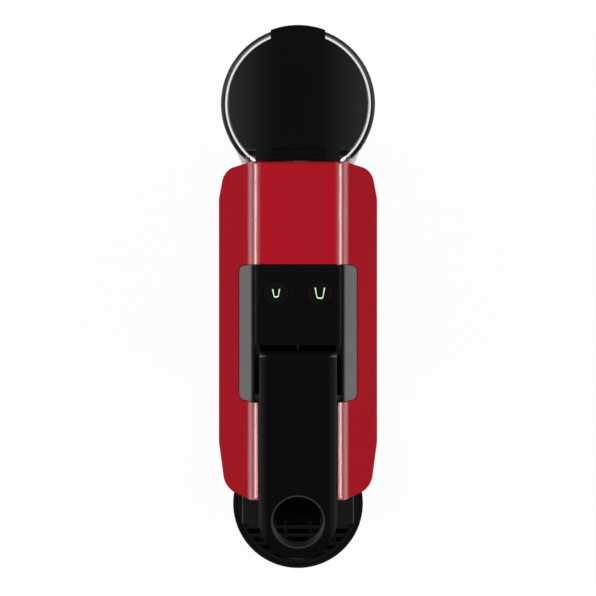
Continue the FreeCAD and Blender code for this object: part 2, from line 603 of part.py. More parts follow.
def base_plate():
    plate = wide(BASE_HALF - WALL - GAP, BIN_REAR + 8 + GAP, COVER_REAR - 5 - GAP, FOOT_Z, FOOT_Z + BASE_FLOOR)
    for place in BASE_SCREWS:
        plate = plate.cut(cyl("z", 1.5, place, 0, 20)).cut(cyl("z", 2.8, place, 0, FOOT_Z + 1.6))
    return plate


def dock_socket():
    """The socket in the dock, with the pin that holds the tank valve open."""
    outer_r = SOCKET_R - RUN
    cup = ring("z", outer_r, 2.8, (0, VALVE_Y), SOCKET_FLOOR, TANK_BOTTOM - 0.3)
    bridge = ring("z", outer_r, 2.0, (0, VALVE_Y), SOCKET_FLOOR, SOCKET_FLOOR + 2)
    spokes = [wide(outer_r - 0.5, VALVE_Y - 0.6, VALVE_Y + 0.6, SOCKET_FLOOR, SOCKET_FLOOR + 2)]
    pin = cyl("z", 1.1, (0, VALVE_Y), SOCKET_FLOOR, PLUNGER_Z - 0.1)
    return fuse(cup, bridge, pin, *spokes)


def dock_seal():
    return ring("z", VALVE_R - GAP, SOCKET_R + 0.2, (0, VALVE_Y), TANK_BOTTOM - 0.3, TANK_BOTTOM + 1.2)


def cord_gland():
    """The bush in the left wall of the base where a mains lead goes in."""
    side = -BASE_HALF
    sleeve = ring("x", GLAND_R - RUN, 2.6, (GLAND_Y, GLAND_Z), side - 1, side + 5)
    return fuse(sleeve, ring("x", GLAND_R + 2, 2.6, (GLAND_Y, GLAND_Z), side - 2, side))


def rubber_feet():
    """Two strips under the side walls, two round feet and an arc under the tank dock."""
    strip = box(BASE_HALF - 2.2, BASE_HALF, LOWER_FRONT + 6, LOWER_FRONT + 36, 0, FOOT_Z)
    arc = ring("z", TANK_R, TANK_R - 3, (0, TANK_Y), 0, FOOT_Z).common(
        wide(60, TANK_Y + 15, TANK_Y + 60, -1, FOOT_Z + 1))
    return mirrored(strip) + mirrored(cyl("z", 6, (24, COVER_REAR - 50), 0, FOOT_Z)) + [arc]


def tray_pads():
    """Pads that let the tray glide on the table as it is drawn out."""
    places = [(0, TRAY_Y - 30), (-22, TRAY_Y + 22), (22, TRAY_Y + 22)]
    return [cyl("z", 4, place, 0.4, FOOT_Z + 0.5) for place in places]


def rear_cover():
    plate = wide(24.6, COVER_REAR - WALL, COVER_REAR, COVER_BOTTOM, 149.6)
    lining = wide(27.5, COVER_REAR - 2 * WALL, COVER_REAR - WALL, COVER_BOTTOM, 153)
    hole = cyl("y", 4.0, (-17, 44), COVER_REAR - 10, COVER_REAR + 5)
    vents = [box(6, 20, COVER_REAR - 10, COVER_REAR + 5, z, z + 2) for z in range(60, 96, 5)]
    body = fuse(plate, lining).cut(hole)
    for vent in vents:
        body = body.cut(vent)
    return body


def water_path():
    z = COVER_BOTTOM
    pieces = {}
    body = cyl("z", 9.0, (PUMP_X, PUMP_Y), z + 8, z + 78)
    bore = cyl("z", 4.5, (PUMP_X, PUMP_Y), z + 20, z + 70)
    pieces["pump_body"] = [body.cut(bore)]
    pieces["pump_coil"] = [ring("z", 17.5, 9.05, (PUMP_X, PUMP_Y), z + 26, z + 62)]
    pieces["pump_piston"] = [cyl("z", 4.5 - RUN, (PUMP_X, PUMP_Y), z + 30, z + 58)]
    pieces["pump_spring"] = [ring("z", 4.2, 3.2, (PUMP_X, PUMP_Y), z + 58.05, z + 70)]
    pieces["pump_dampers"] = [ring("z", 12.0, 9.0, (PUMP_X, PUMP_Y), z, z + 12).cut(
        cyl("z", 10, (PUMP_X, PUMP_Y), z + 8, z + 12)).cut(cyl("z", 4, (PUMP_X, PUMP_Y), z, z + 8))]
    pieces["flow_meter"] = [ring("z", 11.0, 8.6, (METER_X, METER_Y), z, z + 14),
                            cyl("z", 11.0, (METER_X, METER_Y), z + 14, z + 16)]
    pieces["flow_meter"] = [fuse(*pieces["flow_meter"], cyl("z", 8.7, (METER_X, METER_Y), z, z + 2),
                                 cyl("z", 1.0, (METER_X, METER_Y), z + 1, z + 13))]
    wheel = ring("z", 3.0, 1.0 + RUN, (METER_X, METER_Y), z + 3, z + 11)
    vanes = [box(METER_X + 2, METER_X + 8, METER_Y - 0.7, METER_Y + 0.7, z + 4, z + 10).rotate(
        V(METER_X, METER_Y, 0), V(0, 0, 1), 60 * i) for i in range(6)]
    pieces["flow_rotor"] = [fuse(wheel, *vanes)]
    block = fuse(wide(19.0, 34, 76, 134, 166), wide(FRAME_IN, 34, 39, 142, 158))
    gland_bore = cyl("y", TUBE_R + RUN, (0, BREW_Z), 20, 66)
    pieces["thermoblock"] = [block.cut(gland_bore)]
    pieces["slip_gland"] = [ring("y", 6.0, TUBE_R + RUN, (0, BREW_Z), 24, 34)]
    pieces["thermostats"] = [cyl("z", 6.0, (-9, 56), 166, 171), cyl("z", 4.0, (9, 56), 166, 170)]
    top = z + 78
    pieces["pressure_pipe"] = [ring("z", HOSE_R, 1.6, (PUMP_X, PUMP_Y), top, 134)]
    pieces["tank_hose"] = [hose([(0, TANK_Y - SOCKET_R - 1.9, GLAND_Z), (0, 76, GLAND_Z),
                                 (METER_X, METER_Y, GLAND_Z), (METER_X, METER_Y, z)], HOSE_R, 6.0)]
    pieces["pump_hose"] = [hose([(METER_X, METER_Y, z + 16), (METER_X, METER_Y, z + 22),
                                 (PUMP_X - 9.0, METER_Y + 1, z + 22)], HOSE_R - 0.4, 4.0)]
    pieces["terminal_block"] = [box(-30, -14, 66, 80, z, z + 12)]
    return pieces


def hose(points, outer, bend):
    """A tube along straight runs with rounded turns."""
    path = [V(*p) for p in points]
    edges, start = [], path[0]
    for before, here, after in zip(path, path[1:], path[2:]):
        back, on = (before - here).normalize(), (after - here).normalize()
        half = back.getAngle(on) / 2
        reach = bend / math.tan(half)
        middle = (back + on).normalize()
        centre = here + middle * (bend / math.sin(half))
        edges.append(Part.LineSegment(start, here + back * reach).toShape())
        edges.append(Part.Arc(here + back * reach, centre - middle * bend, here + on * reach).toShape())
        start = here + on * reach
    edges.append(Part.LineSegment(start, path[-1]).toShape())
    wire = Part.Wire(edges)
    direction = (path[1] - path[0]).normalize()
    profile = Part.Wire(Part.makeCircle(outer, path[0], direction))
    return wire.makePipeShell([profile], True, True)


def base_screw(place):
    """A pan-head screw let into the base plate from below."""
    head = cyl("z", 2.6, place, FOOT_Z, FOOT_Z + 1.6)
    shank = cyl("z", 1.3 - RUN, place, FOOT_Z + 1.6, FOOT_Z + BASE_FLOOR + 8)
    return fuse(head, shank).cut(cyl("z", 1.0, place, FOOT_Z - 1, FOOT_Z + 0.8))


FRAME_SCREW_Y = -72.0
FRAME_SCREW_Z = (142.0, 160.0)


def frame_screw(z, grow=0.0):
    """A screw through a side plate into the extraction holder; grow makes its hole."""
    head = cyl("x", 2.6, (FRAME_SCREW_Y + 0.4, z), FRAME_OUT, FRAME_OUT + 1.6)
    shank = cyl("x", 1.2 + grow, (FRAME_SCREW_Y + 0.4, z), FRAME_IN - 7, FRAME_OUT + 0.1)
    return shank if grow else fuse(head, shank).cut(
        cyl("x", 0.9, (FRAME_SCREW_Y + 0.4, z), FRAME_OUT + 0.8, FRAME_OUT + 3))


def main():
    os.makedirs("parts", exist_ok=True)
    outer, inner = cover_solid(0), cover_solid(WALL)
    ledge_inner, clear_form = cover_solid(WALL + 1.6), cover_solid(WALL + 0.4)
    write("main_cover", main_cover(outer, inner, ledge_inner))
    board, posts, switches, lights = controls()
    write("control_panel", fuse(control_panel(outer, inner), *posts))
    write("small_cup_button", button(-BUTTON_X))
    write("large_cup_button", button(BUTTON_X))
    write("control_board", board)
    write("board_switches", *switches)
    write("board_lights", *lights)
    write("lever_handle", lever_handle())
    write("lever_shaft", cyl("x", SHAFT_R, (PIVOT_Y, PIVOT_Z), -FRAME_OUT, FRAME_OUT))
    write("lever_cranks", *mirrored(lever_crank()))
    write("capsule_cage", capsule_cage())
    blades = [box(x - 0.3, x + 0.3, CAGE_REAR - CAGE_BACK - 4.5, CAGE_REAR - CAGE_BACK, BREW_Z + z - 2, BREW_Z + z + 2)
              for x, z in ((0, 8), (-7, -4), (7, -4))]
    write("piercing_blades", *blades)
    write("cage_seal", ring("y", CAGE_R, CAGE_R - 2.4, (0, BREW_Z), CAGE_FRONT - 1.2, CAGE_FRONT))
    write("injection_tube", ring("y", TUBE_R, TUBE_R - 0.8, (0, BREW_Z), CAGE_REAR - CAGE_BACK, CAGE_REAR + 62))
    screw_holes = [hole for z in FRAME_SCREW_Z for hole in mirrored(frame_screw(z, RUN))]
    for name, side in zip(("brew_frame_right", "brew_frame_left"), mirrored(brew_frame_side(clear_form))):
        write(name, side.cut(screw_holes))
    write("extraction_holder", extraction_holder().cut(screw_holes))
    write("frame_screws", *[s for z in FRAME_SCREW_Z for s in mirrored(frame_screw(z))])
    write("pyramid_plate", pyramid_plate())
    write("outlet_head", outlet_head())
    write("coffee_spout", coffee_spout())
    write("capsule_container", capsule_container())
    write("drip_tray", drip_tray())
    write("drip_grid", drip_grid())
    write("water_tank", water_tank())
    write("tank_lid", tank_lid())
    write("tank_valve", tank_valve())
    write("valve_plunger", valve_plunger())
    write("valve_spring", valve_spring())
    write("base_chassis", base_chassis())
    write("base_plate", base_plate())
    write("dock_socket", dock_socket())
    write("dock_seal", dock_seal())
    write("cord_gland", cord_gland())
    write("rubber_feet", *rubber_feet())
    write("tray_pads", *tray_pads())
    write("base_screws", *[base_screw(place) for place in BASE_SCREWS])
    write("rear_cover", rear_cover())
    for name, shapes in water_path().items():
        write(name, *shapes)


main()
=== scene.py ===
import bpy
import bmesh
import json
import logging
import math
from dataclasses import dataclass, field
from enum import Enum
from mathutils import Matrix, Vector

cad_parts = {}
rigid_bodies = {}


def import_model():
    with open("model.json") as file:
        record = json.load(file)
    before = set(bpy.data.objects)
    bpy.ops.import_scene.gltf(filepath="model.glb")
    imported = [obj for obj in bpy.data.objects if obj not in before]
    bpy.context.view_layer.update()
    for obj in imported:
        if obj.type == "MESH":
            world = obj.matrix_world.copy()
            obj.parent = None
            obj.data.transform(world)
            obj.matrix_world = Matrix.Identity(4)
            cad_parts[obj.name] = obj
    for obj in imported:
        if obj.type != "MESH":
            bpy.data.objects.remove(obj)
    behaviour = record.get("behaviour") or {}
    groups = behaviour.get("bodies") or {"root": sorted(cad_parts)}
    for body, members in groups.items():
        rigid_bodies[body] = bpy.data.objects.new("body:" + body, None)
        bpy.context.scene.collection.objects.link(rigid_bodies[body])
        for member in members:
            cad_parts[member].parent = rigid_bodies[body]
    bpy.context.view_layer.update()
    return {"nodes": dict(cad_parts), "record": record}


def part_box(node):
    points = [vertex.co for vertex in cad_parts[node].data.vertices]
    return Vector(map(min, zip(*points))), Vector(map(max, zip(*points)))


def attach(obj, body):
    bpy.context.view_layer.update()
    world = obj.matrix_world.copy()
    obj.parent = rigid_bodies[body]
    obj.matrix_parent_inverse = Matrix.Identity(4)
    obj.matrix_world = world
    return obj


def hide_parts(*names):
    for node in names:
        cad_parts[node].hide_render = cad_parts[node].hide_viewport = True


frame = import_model()
LOG = logging.getLogger("coffee_machine")
MM = 0.001
Colour = tuple[float, float, float]


class Scalar:
    """A float socket, or a plain number, that grows Math nodes when it is used in sums."""

    def __init__(self, graph: "Graph", source: object) -> None:
        """Keeps the graph and the socket or number."""
        self.graph = graph
        self.source = source

    def _math(self, operation: str, *others: object) -> "Scalar":
        """Adds one Math node over this value and the others."""
        values = [self.source] + [o.source if isinstance(o, Scalar) else o for o in others]
        sockets = dict(enumerate(values))
        node = self.graph.add("ShaderNodeMath", {"operation": operation}, sockets)
        return Scalar(self.graph, node.outputs[0])

    def __add__(self, other: object) -> "Scalar":
        """self + other."""
        return self._math("ADD", other)

    __radd__ = __add__

    def __sub__(self, other: object) -> "Scalar":
        """self - other."""
        return self._math("SUBTRACT", other)

    def __rsub__(self, other: object) -> "Scalar":
        """other - self."""
        return Scalar(self.graph, other)._math("SUBTRACT", self)

    def __mul__(self, other: object) -> "Scalar":
        """self * other."""
        return self._math("MULTIPLY", other)

    __rmul__ = __mul__

    def __pow__(self, other: object) -> "Scalar":
        """self ** other."""
        return self._math("POWER", other)

    def above(self, edge: float, width: float) -> "Scalar":
        """A mask that rises from 0 to 1 as the value passes edge.

        Args:
            edge: the value at the middle of the rise.
            width: how much the value changes over the whole rise.
        """
        sockets = {"Value": self.source, "From Min": edge - width / 2, "From Max": edge + width / 2}
        settings = {"interpolation_type": "SMOOTHSTEP"}
        return Scalar(self.graph, self.graph.add("ShaderNodeMapRange", settings, sockets).outputs[0])


class Graph:
    """A material's node tree with short ways to add nodes."""

    def __init__(self, name: str) -> None:
        """Makes the material with a Principled surface."""
        self.material = bpy.data.materials.new(name)
        self.material.use_nodes = True
        self.tree = self.material.node_tree
        self.surface = self.tree.nodes["Principled BSDF"]
        self.place = self.add("ShaderNodeTexCoord").outputs["Object"]

    def add(self, kind: str, settings: dict | None = None, sockets: dict | None = None) -> bpy.types.Node:
        """Adds one node of any kind.

        Args:
            kind: the node's type name.
            settings: properties that are set before its sockets; "stops" fills a colour ramp.
            sockets: a value or a link for each input, by name or number.

        Returns:
            The new node.
        """
        node = self.tree.nodes.new(kind)
        for key, value in (settings or {}).items():
            if key == "stops":
                ramp = node.color_ramp.elements
                for i, (position, colour) in enumerate(value):
                    stop = ramp[i] if i < len(ramp) else ramp.new(position)
                    stop.position, stop.color = position, (*colour, 1)
            else:
                setattr(node, key, value)
        for key, value in (sockets or {}).items():
            self.feed(node, key, value)
        return node

    def feed(self, node: bpy.types.Node, key: str | int, value: object) -> None:
        """Sets or links one input of a node."""
        socket = node.inputs[key]
        value = value.source if isinstance(value, Scalar) else value
        if isinstance(value, bpy.types.NodeSocket):
            self.tree.links.new(value, socket)
        elif isinstance(value, (tuple, list)) and socket.type == "RGBA":
            socket.default_value = (*value[:3], 1)
        else:
            socket.default_value = value

    def noise(self, size: float, detail: float = 2.0, stretch: Colour = (1, 1, 1)) -> Scalar:
        """Noise whose grains are about size metres across, squeezed by stretch."""
        mapped = self.add("ShaderNodeMapping", {}, {"Vector": self.place, "Scale": stretch}).outputs[0]
        node = self.add("ShaderNodeTexNoise", {}, {"Vector": mapped, "Scale": 1 / size, "Detail": detail})
        return Scalar(self, node.outputs["Fac"])

    def axis(self, name: str) -> Scalar:
        """One coordinate, "X", "Y" or "Z", in metres."""
        return Scalar(self, self.add("ShaderNodeSeparateXYZ", {}, {0: self.place}).outputs[name])

    def from_middle(self) -> Scalar:
        """Distance from the machine's middle plane, in metres."""
        across = self.axis("X")
        return (across * across) ** 0.5

    def around(self, centre_y: float) -> Scalar:
        """Distance in plan from a point on the middle plane, in metres."""
        across, along = self.axis("X"), self.axis("Y") - centre_y
        return (across * across + along * along) ** 0.5

    def blend(self, mask: Scalar, low: Colour, high: Colour) -> object:
        """A colour between low and high."""
        settings = {"data_type": "RGBA"}
        node = self.add("ShaderNodeMix", settings, {0: mask, 6: low, 7: high})
        return node.outputs[2]

    def dent(self, height: Scalar, depth: float) -> None:
        """Feeds a bump of that depth, in metres, to the surface's normal."""
        node = self.add("ShaderNodeBump", {}, {"Height": height, "Distance": depth, "Strength": 1.0})
        self.feed(self.surface, "Normal", node.outputs[0])

    def finish(self, **sockets: object) -> bpy.types.Material:
        """Sets the surface's sockets, with underscores for spaces, and returns the material."""
        for key, value in sockets.items():
            self.feed(self.surface, key.replace("_", " "), value)
        return self.material


def tint(colour: Colour, factor: float) -> Colour:
    """The colour made lighter or darker."""
    return tuple(min(1.0, c * factor) for c in colour)


@dataclass(frozen=True)
class Moulding:
    """Moulded plastic: fine spark-eroded grain, faint flow mottling and light handling marks."""

    name: str
    colour: Colour
    roughness: float = 0.4
    grain: float = 0.0004
    depth: float = 0.00001
    mottle: float = 0.06
    coat: float = 0.0
    ior: float = 1.47
    gloss: float = 0.06
    coat_from: float = 0.0
    coat_width: float = 0.0004
    coat_ior: float = 1.5

    def build(self) -> bpy.types.Material:
        """Returns the material."""
        g = Graph(self.name)
        flow = g.noise(0.05, 3.0)
        marks = g.noise(0.012, 4.0, (1.0, 0.25, 1.0)).above(0.66, 0.16)
        grains = g.noise(self.grain, 1.0)
        dark, pale = tint(self.colour, 1 - self.mottle), tint(self.colour, 1 + self.mottle)
        colour = g.blend(flow.above(0.5, 0.5), dark, pale)
        rough = self.roughness + (flow - 0.5) * 0.08 - marks * 0.05
        g.dent(grains, self.depth)
        # painted edge highlights go on here, where a moulding has them
        colour = self.edges(g, colour)
        coat = g.from_middle().above(self.coat_from, self.coat_width) * self.coat
        return g.finish(Base_Color=colour, Roughness=rough, IOR=self.ior, Coat_Weight=coat,
                        Coat_Roughness=0.12, Coat_IOR=self.coat_ior, Specular_IOR_Level=self.gloss)


    def edges(self, g: Graph, colour: object) -> object:
        """The colour with any painted edge highlights laid over it; a plain moulding has none.

        Args:
            g: the material's graph; not used by this plain version.
            colour: the colour so far.

        Returns:
            the colour socket to use.
        """
        return colour


@dataclass(frozen=True)
class HandleMoulding(Moulding):
    """The handle's plastic, with painted highlights, bands of lighter colour, along the bar's long edges and
    round the finger hole.
    """

    hole_y: float = -0.0887
    hole_radius: float = 0.0125
    half_width: float = 0.0187
    # width of the painted highlight bands, and their lighter colour
    highlight_band: float = 0.0006
    highlight_colour: Colour = (0.035, 0.037, 0.04)

    def edges(self, g: Graph, colour: object) -> object:
        """Paints highlights in a lighter colour round the rim of the hole and along the long edges of the
        bar.
        """
        # painted highlight round the finger hole's rim, and a weaker one along the bar's long edges
        rim = 1 - g.around(self.hole_y).above(self.hole_radius + self.highlight_band, self.highlight_band)
        bar_highlight = g.from_middle().above(self.half_width - self.highlight_band * 2 / 3, self.highlight_band)
        return g.blend(rim + bar_highlight * 0.6, colour, self.highlight_colour)


@dataclass(frozen=True)
class GlossShell:
    """The cover's coloured plastic: a satin skin with slight orange peel and fine dust in the gloss."""

    name: str
    colour: Colour
    roughness: float = 0.24
    crease_inner: float = 0.0186
    crease_outer: float = 0.0243
    crease_fade: float = 0.002
    crown_low: float = 0.19
    crown_fade: float = 0.004

    def build(self) -> bpy.types.Material:
        """Returns the material."""
        g = Graph(self.name)
        cloud = g.noise(0.07, 2.0)
        peel = g.noise(0.0016, 1.0)
        speck = g.noise(0.0005, 1.0).above(0.74, 0.05)
        colour = g.blend(cloud.above(0.5, 0.6), tint(self.colour, 0.96), tint(self.colour, 1.04))
        g.dent(peel * 0.7 + speck * 0.3, 0.000006)
        rough = self.roughness + (cloud - 0.5) * 0.05 + speck * 0.1
        reach = g.from_middle()
        crease = reach.above(self.crease_inner, self.crease_fade)
        crease = crease * (1 - reach.above(self.crease_outer, self.crease_fade))
        crease = crease * g.axis("Z").above(self.crown_low, self.crown_fade)
        return g.finish(Base_Color=colour, Roughness=rough, IOR=1.12, Specular_IOR_Level=0.02,
                        Coat_Weight=crease, Coat_Roughness=0.35, Coat_IOR=2.4)


@dataclass(frozen=True)
class Metal:
    """Ground, drawn or cast metal with its lay along one axis."""

    name: str
    colour: Colour
    roughness: float = 0.28
    lay: Colour = (1.0, 0.05, 1.0)
    grain: float = 0.0003
    depth: float = 0.000004

    def build(self) -> bpy.types.Material:
        """Returns the material."""
        g = Graph(self.name)
        lines = g.noise(self.grain, 2.0, self.lay)
        stain = g.noise(0.02, 3.0)
        colour = g.blend(stain.above(0.5, 0.6), tint(self.colour, 0.9), self.colour)
        g.dent(lines, self.depth)
        rough = self.roughness + (lines - 0.5) * 0.2 + (stain - 0.5) * 0.1
        return g.finish(Base_Color=colour, Roughness=rough, Metallic=1.0)


@dataclass(frozen=True)
class Soft:
    """Rubber and silicone: matt, slightly dusty, with a soft sheen."""

    name: str
    colour: Colour
    roughness: float = 0.7
    sheen: float = 0.1

    def build(self) -> bpy.types.Material:
        """Returns the material."""
        g = Graph(self.name)
        dust = g.noise(0.004, 4.0)
        colour = g.blend(dust.above(0.6, 0.4), self.colour, tint(self.colour, 1.25))
        g.dent(g.noise(0.0006, 2.0), 0.00002)
        return g.finish(Base_Color=colour, Roughness=self.roughness + (dust - 0.5) * 0.2,
                        Sheen_Weight=self.sheen)


@dataclass(frozen=True)
class ClearShell:
    """The tank's clear plastic, frosted by scratches and lime, with a much darker outer lip at the top and a
    painted highlight that glows by emission on the inner edge of the top.
    """

    name: str
    colour: Colour
    middle_y: float = 0.1162
    lime_top: float = 0.055
    darker_lip_from: float = 0.0364
    lip_low: float = 0.1872
    # where the painted highlight ring lies, its lowest height and its emitted colour
    edge_inner: float = 0.0349
    edge_outer: float = 0.0359
    edge_low: float = 0.1937
    painted_glint: Colour = (0.75, 0.77, 0.78)

    def build(self) -> bpy.types.Material:
        """Returns the material."""
        g = Graph(self.name)
        scratches = g.noise(0.0009, 3.0, (1.0, 1.0, 0.08)).above(0.64, 0.1)
        lime = g.noise(0.01, 4.0) * (1 - g.axis("Z").above(self.lime_top, 0.06))
        rough = 0.04 + scratches * 0.08 + lime * 0.18
        g.dent(g.noise(0.006, 1.0), 0.00002)
        radius, height = g.around(self.middle_y), g.axis("Z")
        # the outer lip above lip_low is coloured far darker than the rest of the clear wall
        darker_lip = radius.above(self.darker_lip_from, 0.0006) * height.above(self.lip_low, 0.001)
        colour = g.blend(darker_lip, self.colour, tint(self.colour, 0.05))
        # painted highlight: a thin ring on the top's inner edge glows by emission as if it caught the light
        edge = radius.above(self.edge_inner, 0.0003) * (1 - radius.above(self.edge_outer, 0.0003))
        painted_glint = g.blend(edge * height.above(self.edge_low, 0.0003), (0, 0, 0), self.painted_glint)
        return g.finish(Base_Color=colour, Roughness=rough, IOR=1.5, Transmission_Weight=1.0,
                        Emission_Color=painted_glint, Emission_Strength=1.0)


@dataclass(frozen=True)
class Glow:
    """A lit diffuser behind the cup pictograms."""

    name: str
    colour: Colour
    strength: float = 0.35

    def build(self) -> bpy.types.Material:
        """Returns the material."""
        g = Graph(self.name)
        haze = g.noise(0.0006, 2.0)
        colour = g.blend(haze, tint(self.colour, 0.9), self.colour)
        return g.finish(Base_Color=colour, Roughness=0.45, Emission_Color=colour,
                        Emission_Strength=self.strength)


@dataclass(frozen=True)
class Board:
    """Solder mask with copper tracks showing through it."""

    name: str
    colour: Colour

    def build(self) -> bpy.types.Material:
        """Returns the material."""
        g = Graph(self.name)
        tracks = g.noise(0.004, 0.0, (1.0, 0.12, 1.0)).above(0.55, 0.03)
        colour = g.blend(tracks, self.colour, tint(self.colour, 1.9))
        g.dent(tracks, 0.00003)
        return g.finish(Base_Color=colour, Roughness=0.35)


class Finish(Enum):
    """Every finish on the machine, by its slot in the parts record."""

    RED = ("red_cover", GlossShell("cover red", (0.365, 0.0085, 0.0165)))
    PANEL = ("panel_black", Moulding("panel black", (0.003, 0.003, 0.0035), 0.36, 0.0003, 0.000004, coat=1.0,
                                        coat_from=0.0225, coat_width=0.003))
    # the lever's black, with painted highlights on its finger hole and long edges
    LEVER = ("lever_black", HandleMoulding(
        "lever black", (0.0025, 0.0025, 0.003), 0.33, 0.0003, 0.000004, coat=0.8, coat_from=0.0165,
        coat_width=0.004, coat_ior=2.0))
    NOSE = ("nose_black", Moulding("nose black", (0.004, 0.004, 0.0045), 0.42))
    BASE = ("base_black", Moulding("base black", (0.014, 0.014, 0.015), 0.5, 0.0005, 0.00002))
    TRAY = ("tray_black", Moulding("tray black", (0.005, 0.005, 0.0055), 0.42, 0.0005, 0.000012))
    BUTTON = ("button_black", Moulding("button black", (0.004, 0.004, 0.0045), 0.4, 0.0003, 0.000004))
    TANK = ("clear_tank", ClearShell("clear tank", (0.93, 0.96, 0.97)))
    LID = ("lid_black", Moulding("lid black", (0.003, 0.0033, 0.0038), 0.38, 0.0004, 0.000006, coat=1.0,
                                    coat_from=0.024, coat_width=0.03, coat_ior=2.3))
    GREY = ("grey_nylon", Moulding("grey nylon", (0.10, 0.10, 0.105), 0.5, 0.0006, 0.00002, mottle=0.15))
    CREAM = ("cream_nylon", Moulding("cream nylon", (0.60, 0.57, 0.48), 0.45, 0.0006, 0.00001, mottle=0.1))
    STEEL = ("steel", Metal("ground steel", (0.60, 0.59, 0.58)))
    RUBBER = ("dark_rubber", Soft("dark rubber", (0.018, 0.018, 0.019)))
    SEAL = ("seal_silicone", Soft("seal silicone", (0.45, 0.07, 0.05), 0.55))
    HOSE = ("hose_silicone", Soft("hose silicone", (0.75, 0.75, 0.70), 0.45, 0.3))
    CAST = ("cast_alloy", Metal("cast alloy", (0.55, 0.56, 0.57), 0.45, (1.0, 1.0, 1.0), 0.0012, 0.00004))
    COIL = ("coil_resin", Moulding("coil resin", (0.03, 0.03, 0.09), 0.3, 0.002, 0.00002, coat=0.4))
    BOARD = ("circuit_green", Board("circuit board", (0.01, 0.09, 0.035)))
    LIGHT = ("light_white", Glow("cup light", (0.55, 0.80, 0.45)))

    @property
    def slot(self) -> str:
        """The record's slot name."""
        return self.value[0]


class Paintbox:
    """Builds each finish once and dresses the CAD nodes with it."""

    def __init__(self) -> None:
        """Builds nothing yet."""
        self.made: dict[Finish, bpy.types.Material] = {}

    def get(self, finish: Finish) -> bpy.types.Material:
        """The finish's material."""
        if finish not in self.made:
            self.made[finish] = finish.value[1].build()
        return self.made[finish]

    def dress_nodes(self) -> None:
        """Gives each CAD node the finish of its record slot."""
        by_slot = {finish.slot: finish for finish in Finish}
        for part in frame["record"]["subparts"]:
            mesh = frame["nodes"][part["node"]].data
            mesh.materials.clear()
            mesh.materials.append(self.get(by_slot[part["material_slot"]]))
            LOG.info("dressed %s", part["node"])


PAINT = Paintbox()


def piece_from(mesh: bpy.types.Mesh, name: str, finish: Finish, body: str) -> bpy.types.Object:
    """Links a mesh as one piece that rides on a body.

    Args:
        mesh: the finished mesh, in the machine's frame.
        name: the piece's name.
        finish: what it is made of.
        body: the CAD body that it moves with.

    Returns:
        The new object.
    """
    mesh.materials.clear()
    mesh.materials.append(PAINT.get(finish))
    piece = bpy.data.objects.new(name, mesh)
    bpy.context.collection.objects.link(piece)
    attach(piece, body)
    LOG.info("piece %s on %s", name, body)
    return piece


class Tree:
    """A Geometry Nodes tree with named inputs, run once on an empty mesh and kept as a plain mesh."""

    def __init__(self, name: str, inputs: dict[str, float]) -> None:
        """Makes the tree.

        Args:
            name: the tree's name.
            inputs: its float inputs with their values.
        """
        self.group = bpy.data.node_groups.new(name, "GeometryNodeTree")
        face = self.group.interface
        face.new_socket("Geometry", in_out="OUTPUT", socket_type="NodeSocketGeometry")
        self.ids = {}
        for key in inputs:
            self.ids[key] = face.new_socket(key, in_out="INPUT", socket_type="NodeSocketFloat").identifier
        self.values = inputs
        self.source = self.group.nodes.new("NodeGroupInput")
        self.sink = self.group.nodes.new("NodeGroupOutput")

    def add(self, kind: str, settings: dict | None = None, sockets: dict | None = None) -> bpy.types.Node:
        """Adds one node; a socket's value may be a number, a link or the name of an input."""
        node = self.group.nodes.new(kind)
        for key, value in (settings or {}).items():
            setattr(node, key, value)
        for key, value in (sockets or {}).items():
            if isinstance(value, str):
                value = self.source.outputs[value]
            if isinstance(value, bpy.types.NodeSocket):
                self.group.links.new(value, node.inputs[key])
            else:
                node.inputs[key].default_value = value
        return node

    def sum(self, a: object, operation: str, b: object) -> bpy.types.NodeSocket:
        """One Math node over two values, links or input names."""
        return self.add("ShaderNodeMath", {"operation": operation}, {0: a, 1: b}).outputs[0]

    def hoop(self, points: int, radius: object) -> bpy.types.NodeSocket:
        """A circle with that many points; the radius may be a link or an input's name."""
        sockets = {"Resolution": points, "Radius": radius}
        return self.add("GeometryNodeCurvePrimitiveCircle", {}, sockets).outputs[0]

    def mesh(self, geometry: bpy.types.NodeSocket, finish: Finish) -> bpy.types.Mesh:
        """Runs the tree and returns its result as a plain mesh.

        Args:
            geometry: the socket that holds the finished shape.
            finish: the material that the tree sets.

        Returns:
            The mesh, with the tree's holder removed.
        """
        real = self.add("GeometryNodeRealizeInstances", {}, {0: geometry}).outputs[0]
        paint = self.add("GeometryNodeSetMaterial", {}, {"Geometry": real, "Material": PAINT.get(finish)})
        self.group.links.new(paint.outputs[0], self.sink.inputs[0])
        holder = bpy.data.objects.new("holder", bpy.data.meshes.new("holder"))
        bpy.context.collection.objects.link(holder)
        modifier = holder.modifiers.new("tree", "NODES")
        modifier.node_group = self.group
        for key, value in self.values.items():
            modifier[self.ids[key]] = value
        ready = holder.evaluated_get(bpy.context.evaluated_depsgraph_get())
        mesh = bpy.data.meshes.new_from_object(ready)
        holder.modifiers.remove(modifier)
        bpy.data.objects.remove(holder)
        return mesh


